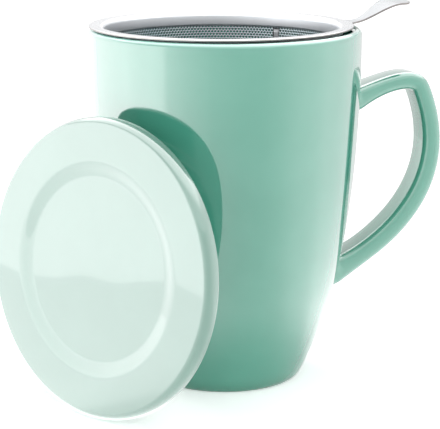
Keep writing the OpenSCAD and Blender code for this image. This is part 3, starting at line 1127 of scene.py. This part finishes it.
    def build_floor(self, material: Material) -> None:
        """Cuts the perforated floor to a disc and turns its plain rim."""
        disc_r, pitch = self.low_r - self.sleeve_gap, self.pitch_wanted
        holes_r, row_h = disc_r - self.floor_border, pitch * math.sqrt(3) / 2
        count, rows = (2 * math.ceil(disc_r / step) + 1 for step in (pitch, row_h))
        bm = self.hexagon_sheet(count, rows, pitch)
        middle = Vector(((count - 1) * pitch / 2, (rows - 1) * row_h / 2, 0))
        bmesh.ops.translate(bm, verts=bm.verts[:], vec=-middle)
        beyond = [v for v in bm.verts if v.co.xy.length > holes_r + pitch]
        bmesh.ops.delete(bm, geom=beyond, context="VERTS")
        top = self.low_z + self.mesh_sheet + self.floor_lift
        bmesh.ops.translate(bm, verts=bm.verts[:], vec=(0, 0, top))
        face_towards(bm, UP)
        disc = self.seat(bm, Piece("floor_mesh", Part.BASKET_FLOOR, material, flat_over=30))
        thicken(disc, self.mesh_sheet)
        ring = spun(self.pan_profile(disc_r, holes_r - self.floor_lap))
        self.seat(ring, Piece("floor_pan", Part.BASKET_FLOOR, material))

    def pan_profile(self, outer: float, inner: float) -> list[Vector]:
        """Lists the closed section of the floor's turned-up rim.

        Args:
            outer: Its outer radius.
            inner: The radius where it laps the perforated disc.

        Returns:
            Points of radius and height, with the last point equal to the first.
        """
        t, soft, low = self.pan_sheet, self.pan_round, self.low_z
        turn = (outer - soft, low + soft)
        points = [Vector((inner, low + t)), Vector((inner, low))]
        points += arc(turn, (soft, soft), 270, 360, 8)
        points += arc((outer - t / 2, low + self.turn_h - t / 2), (t / 2, t / 2), 0, 180, 6)
        points += arc(turn, (soft - t, soft - t), 0, -90, 6)
        return [*points, points[0]]

    def build(self, group: Tree) -> None:
        """Builds the basket's pieces in their finishes."""
        polished = self.steel(group, "polished_steel", (0.60, 0.61, 0.63, 1),
                              (0.52, 0.53, 0.55, 1), 0.12, Grain.TURNED)
        # The tab's steel is the rim's steel painted darker: painted shade that dims the tab's
        # bright reflections.
        tab_steel_shaded = self.steel(group, "tab_steel_painted_shade", (0.32, 0.33, 0.34, 1),
                             (0.28, 0.29, 0.30, 1), 0.25, Grain.TURNED)
        rolled = self.steel(group, "perforated_steel", (0.29, 0.32, 0.33, 1),
                            (0.18, 0.24, 0.26, 1), 0.26, Grain.ROLLED)
        welded = self.steel(group, "welded_steel", (0.17, 0.175, 0.18, 1),
                            (0.11, 0.115, 0.12, 1), 0.30, Grain.ROLLED)
        self.build_rim(polished)
        self.build_tab(tab_steel_shaded)
        self.build_sleeve(rolled)
        self.build_hoops(rolled)
        self.build_seam(welded)
        self.build_floor(rolled)


# ---- lid


@dataclass
class Lid:
    """The loose lid: a round plate with a recessed face and a locating ring behind it."""

    radius: float = 46.4 * MM
    edge_h: float = 5 * MM
    band_h: float = 1.8 * MM
    shoulder_w: float = 2.2 * MM
    border_w: float = 10.4 * MM
    slope_w: float = 6 * MM
    slope_steps: int = 24
    recess_depth: float = 1.1 * MM
    core_t: float = 4 * MM
    ring_r: float = 37.1 * MM
    ring_depth: float = 8.5 * MM
    ring_t: float = 4 * MM
    edge_round: float = 0.8 * MM
    ring_round: float = 1 * MM
    root_fillet: float = 0.8 * MM
    bearing: float = -131.0
    lean: float = 5.5
    stand_out: float = 55.47 * MM
    # The lid's body colour is the mug's green glaze made paler and greyer, a painted highlight
    # standing in for the bright window that washes the lid out.
    finish: GlazeFinish = GlazeFinish(
        "green_glaze_lid", (0.115, 0.238, 0.19, 1), (0.36, 0.60, 0.52, 1),
        (0.10, 0.225, 0.175, 1), wave_size=30.0, wave_height=2.6,
    )

    @property
    def centre_z(self) -> float:
        """Height of the lid's middle when its edge stands on the table."""
        turn, e = math.radians(self.lean), self.edge_round
        return (self.radius - e) * math.cos(turn) + e * (1 - math.sin(turn))

    def profile(self) -> list[Vector]:
        """Lists the lid's half section, face up, from the middle of its face to that of its back.

        Returns:
            Points of radius and height that start and end on the axis.
        """
        r, e, rr, f = self.radius, self.edge_round, self.ring_round, self.root_fillet
        shoulder = (self.shoulder_w, self.edge_h - self.band_h)
        recess_r, recess_z = r - self.shoulder_w - self.border_w, self.edge_h - self.recess_depth
        inner, low_z, under_z = self.ring_r - self.ring_t, -self.ring_depth, recess_z - self.core_t
        points = [Vector((0.0, recess_z)), Vector((0.5 * recess_r, recess_z))]
        for u in (i / self.slope_steps for i in range(self.slope_steps + 1)):
            rise = self.recess_depth * ease(u)
            points.append(Vector((recess_r - self.slope_w * (1 - u), recess_z + rise)))
        points += arc((r - self.shoulder_w, self.band_h), shoulder, 90, 0, 16)
        points += arc((r - e, e), (e, e), 0, -90, 8)
        points += arc((self.ring_r + f, -f), (f, f), 90, 180, 6)
        points += arc((self.ring_r - rr, low_z + rr), (rr, rr), 0, -90, 8)
        points += arc((inner + rr, low_z + rr), (rr, rr), -90, -180, 8)
        points += arc((inner - f, under_z - f), (f, f), 0, 90, 6)
        points.append(Vector((0.0, under_z)))
        return points

    def build(self, group: Tree) -> None:
        """Turns the lid and leans it on the mug."""
        bm = spun(self.profile())
        stand = Matrix.Translation((self.stand_out, 0, self.centre_z))
        place(bm, turned(self.bearing) @ stand @ turned(90 - self.lean, "Y"))
        Piece("lid_plate", Part.LID, self.finish.build(group)).finish(bm)


# ---- studio


class RoomSide(Enum):
    """The lit surfaces of the mirrored room, by their place in a stop."""

    WALL = 1
    FLOOR = 2


@dataclass(frozen=True)
class Softbox:
    """A rectangular lamp, which lights the object but isn't mirrored in it."""

    name: str
    place: Spot
    aim: Spot
    size: Point
    radiance: float

    def build(self) -> None:
        """Builds the lamp."""
        lamp = bpy.data.lights.new(self.name, "AREA")
        lamp.shape = "RECTANGLE"
        lamp.size, lamp.size_y = self.size
        lamp.energy = self.radiance * math.pi * self.size[0] * self.size[1]
        box = bpy.data.objects.new(self.name, lamp)
        box.location = self.place
        way = Vector(self.aim) - Vector(self.place)
        box.rotation_euler = way.to_track_quat("-Z", "Y").to_euler()
        box.visible_camera = False
        box.visible_glossy = False
        bpy.context.scene.collection.objects.link(box)


@dataclass(frozen=True)
class RingLight:
    """The pale room that glossy surfaces mirror, by direction round the mug.

    A stop is a direction in degrees, counted from the camera's and positive to its
    right, then the brightness of the wall and of the floor there. A tall window takes
    up the left.
    """

    stops: tuple[Spot, ...] = (
        (-180, 1.2, 0.9), (-165, 1.1, 1.0), (-155, 1.3, 1.2), (-143, 2.0, 1.7),
        (-126, 2.75, 2.35), (-101, 4.6, 3.95), (-85, 5.6, 4.65), (-60, 5.7, 4.8),
        (-50, 5.3, 4.5), (-45, 4.0, 3.8), (-30, 3.05, 2.9), (-8, 2.1, 2.0), (12, 1.75, 1.7),
        (28, 1.7, 1.7), (43, 1.95, 1.95), (60, 2.5, 2.5), (90, 2.7, 2.7), (107, 2.2, 2.2),
        (126, 1.65, 1.65), (156, 0.9, 0.9), (180, 1.2, 0.9),
    )
    radius: float = 0.39
    height: float = 0.26
    floor_near: float = 0.028
    floor_far: float = 0.075
    beside: float = 2.7
    zenith: float = 4.8
    zenith_tilt: Point = (0.5, 0.87)
    zenith_from: float = 0.3
    zenith_to: float = 0.75
    ceiling_from: float = 0.42
    ceiling_to: float = 0.64
    sides: int = 96

    def glow(self, nodes: Nodes, around: Socket, side: RoomSide) -> tuple[Socket, float]:
        """Adds the nodes that read the brightness from a place.

        Args:
            nodes: The shader tree's helper.
            around: The place, measured from the mug's axis.
            side: Which of the room's surfaces it is on.

        Returns:
            A grey from 0 to 1 and the brightness that 1 stands for.
        """
        x, y, _ = nodes.axes(around)
        turn = nodes.math("ARCTAN2", x, nodes.times(y, -1.0))
        share = nodes.add("ShaderNodeMapRange", {0: turn, 1: -math.pi, 2: math.pi}).outputs[0]
        ramp = nodes.add("ShaderNodeValToRGB", {0: share})
        peak = max(stop[side.value] for stop in self.stops)
        elements = ramp.color_ramp.elements
        for number, values in enumerate(self.stops):
            position, grey = (values[0] + 180) / 360, values[side.value] / peak
            stop = elements[number] if number < 2 else elements.new(position)
            stop.position = position
            stop.color = (grey, grey, grey, 1)
        return ramp.outputs["Color"], peak

    def ceiling(self, nodes: Nodes, back: Socket, up: Socket) -> Socket:
        """Adds the nodes that read the ceiling's brightness, highest behind the zenith."""
        tilt = self.zenith_tilt
        high = nodes.remap(up, self.ceiling_from, self.ceiling_to)
        towards = nodes.plus(nodes.times(back, tilt[0]), nodes.times(up, tilt[1]))
        lit = nodes.times(high, nodes.remap(towards, self.zenith_from, self.zenith_to))
        return nodes.remap(lit, 0.0, 1.0, self.beside, self.zenith)

    def build(self) -> None:
        """Builds the wall of light, which only mirrored rays meet."""
        bm = bmesh.new()
        bmesh.ops.create_cone(bm, cap_ends=False, segments=self.sides, radius1=self.radius,
                              radius2=self.radius, depth=self.height)
        place(bm, Matrix.Translation((0, 0, self.height / 2)))
        material, nodes = open_material("lit_wall")
        grey, peak = self.glow(nodes, nodes.here(), RoomSide.WALL)
        lit = nodes.add("ShaderNodeEmission", {"Color": grey, "Strength": peak})
        nodes.add("ShaderNodeOutputMaterial", {"Surface": lit.outputs[0]})
        wall = make_object(bm, "light_wall", material)
        for sight in ("camera", "diffuse", "transmission", "shadow"):
            setattr(wall, f"visible_{sight}", False)


@dataclass
class Studio:
    """A pale floor, soft lamps, the mirrored room and the camera.

    The floor's own glow is given for camera, diffuse and glossy rays.
    """

    camera_place: Spot = (0.0, -534.22 * MM, 176.59 * MM)
    camera_pitch: float = 12.990
    camera_yaw: float = 0.1632
    camera_roll: float = 0.0694
    lens: float = 136.19
    sensor: float = 36.0
    floor_size: float = 3.0
    floor_glow: Spot = (0.37, 0.28, 0.12)
    paper: tuple[Colour, Colour] = ((0.93, 0.93, 0.93, 1), (0.95, 0.95, 0.95, 1))
    paper_tooth: float = 900.0
    paper_roughness: float = 0.9
    paper_sheen: float = 0.1
    backdrop: float = 1.15
    surround: float = 0.45
    room: RingLight = RingLight()
    softboxes: tuple[Softbox, ...] = (
        Softbox("top", (0.0, -0.1, 0.9), (0.0, 0.0, 0.0), (0.9, 0.9), 1.0),
        Softbox("front right", (0.5, -1.0, 0.52), (0.0, 0.0, 0.05), (0.6, 0.6), 6.7),
        Softbox("left", (-0.95, -0.5, 0.52), (0.0, 0.0, 0.05), (0.6, 0.6), 2.6),
        Softbox("back left", (-0.8, 1.0, 0.45), (0.03, 0.0, 0.06), (0.6, 0.6), 8.0),
    )

    def build_floor(self) -> None:
        """Lays the pale floor, which mirrored rays see as bright as the room beyond it."""
        bm = bmesh.new()
        bmesh.ops.create_grid(bm, x_segments=1, y_segments=1, size=self.floor_size / 2)
        material, nodes = open_material("pale_paper")
        here = nodes.here()
        path = nodes.add("ShaderNodeLightPath").outputs
        seen = ("Is Camera Ray", "Is Diffuse Ray", "Is Glossy Ray")
        shares = [nodes.times(path[ray], glow) for ray, glow in zip(seen, self.floor_glow)]
        paper = nodes.add("ShaderNodeBsdfPrincipled", {
            "Base Color": nodes.mix(nodes.noise(here, self.paper_tooth), *self.paper),
            "Roughness": self.paper_roughness, "Specular IOR Level": self.paper_sheen,
            "Emission Color": (1, 1, 1, 1),
            "Emission Strength": nodes.plus(nodes.plus(shares[0], shares[1]), shares[2]),
        })
        grey, peak = self.room.glow(nodes, here, RoomSide.FLOOR)
        lit = nodes.add("ShaderNodeEmission", {"Color": grey, "Strength": peak})
        reach = nodes.add("ShaderNodeVectorMath", {0: here}, operation="LENGTH").outputs["Value"]
        far = nodes.remap(reach, self.room.floor_near, self.room.floor_far)
        share = nodes.times(path["Is Glossy Ray"], far)
        both = nodes.add("ShaderNodeMixShader", {0: share, 1: paper.outputs[0], 2: lit.outputs[0]})
        nodes.add("ShaderNodeOutputMaterial", {"Surface": both.outputs[0]})
        floor = make_object(bm, "pale_floor", material)

    def build_surround(self) -> None:
        """Sets the surround: even light, a ceiling in mirrored rays, white behind the object."""
        world = bpy.data.worlds.new("pale_surround")
        world.use_nodes = True
        nodes = Nodes(world.node_tree)
        path = nodes.add("ShaderNodeLightPath").outputs
        _, back, up = nodes.axes(nodes.here("Generated"))
        plain = nodes.remap(path["Is Camera Ray"], 0.0, 1.0, self.surround, self.backdrop)
        ceiling = self.room.ceiling(nodes, back, up)
        strength = nodes.blend(path["Is Glossy Ray"], plain, ceiling)
        light = nodes.add("ShaderNodeBackground", {"Color": (1, 1, 1, 1), "Strength": strength})
        nodes.add("ShaderNodeOutputWorld", {"Surface": light.outputs[0]})
        bpy.context.scene.world = world

    def build_camera(self) -> None:
        """Sets the camera at the viewing angle of the photograph."""
        data = bpy.data.cameras.new("camera")
        data.lens = self.lens
        data.sensor_width = self.sensor
        data.sensor_fit = "HORIZONTAL"
        camera = bpy.data.objects.new("camera", data)
        pitch, yaw = math.radians(90 - self.camera_pitch), math.radians(self.camera_yaw)
        look = Euler((pitch, 0, yaw), "XYZ").to_matrix().to_4x4()
        where = Matrix.Translation(self.camera_place)
        camera.matrix_world = where @ look @ turned(self.camera_roll)
        bpy.context.scene.collection.objects.link(camera)
        bpy.context.scene.camera = camera

    def build(self) -> None:
        """Builds the floor, the surround, the lamps and the camera."""
        self.build_floor()
        self.build_surround()
        self.room.build()
        for softbox in self.softboxes:
            softbox.build()
        self.build_camera()
        bpy.context.scene.view_settings.view_transform = "Standard"


def main() -> None:
    """Builds the pieces and the studio."""
    logging.basicConfig(level=logging.INFO, format="%(name)s: %(message)s")
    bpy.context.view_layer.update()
    glaze, steel = PouredGlaze().build(), WorkedSteel().build()
    mug = Mug()
    mug.build(glaze)
    Handle(mug).build(glaze)
    Infuser(mug).build(steel)
    Lid().build(glaze)
    Studio().build()
    bpy.context.view_layer.update()


if __name__ == "__main__":
    main()
